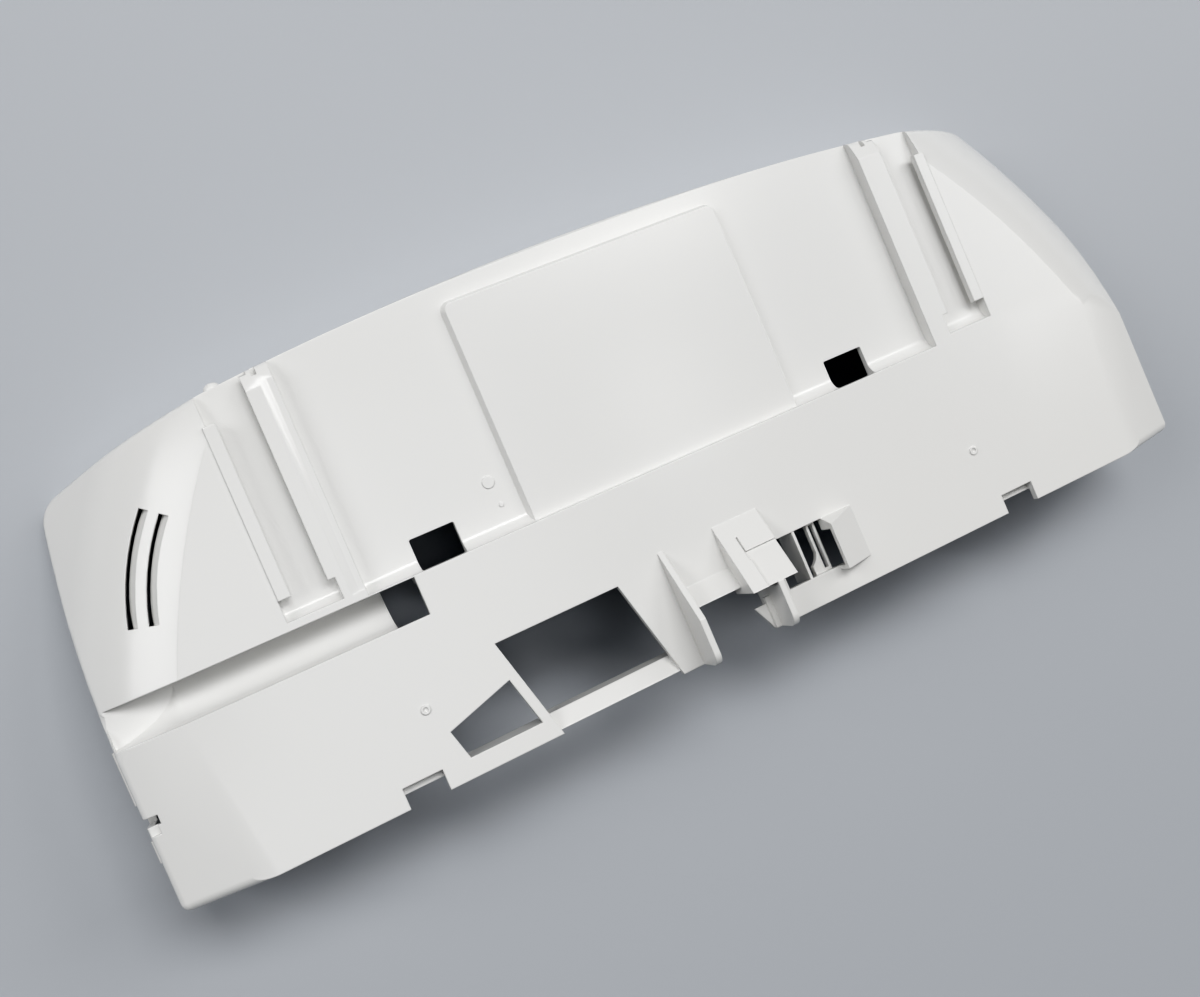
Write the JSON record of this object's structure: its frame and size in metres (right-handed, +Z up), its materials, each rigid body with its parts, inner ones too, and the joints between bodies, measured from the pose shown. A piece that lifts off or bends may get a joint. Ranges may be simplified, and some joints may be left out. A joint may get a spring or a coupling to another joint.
{
  "type": "injection moulded plastic housing",
  "caption": "White moulded rear housing shell with rolled shoulders, a recessed bay between two undercut guide channels, windows, hinge ears, a cable trough and vent louvres.",
  "frame": {"origin": "centre of the footprint, on the plane of the rim that the shell stands on", "axes": "+Z up from the rim to the outer face, +Y from the straight lower edge to the arched top edge, +X along the housing away from the cable trough"},
  "size_m": [0.3798, 0.1458, 0.0635],
  "materials": {
    "housing_plastic": "semi-gloss white ABS with faint flow and sink marks"
  },
  "bodies": {
    "root": {"housing": "housing_plastic"}
  },
  "joints": []
}
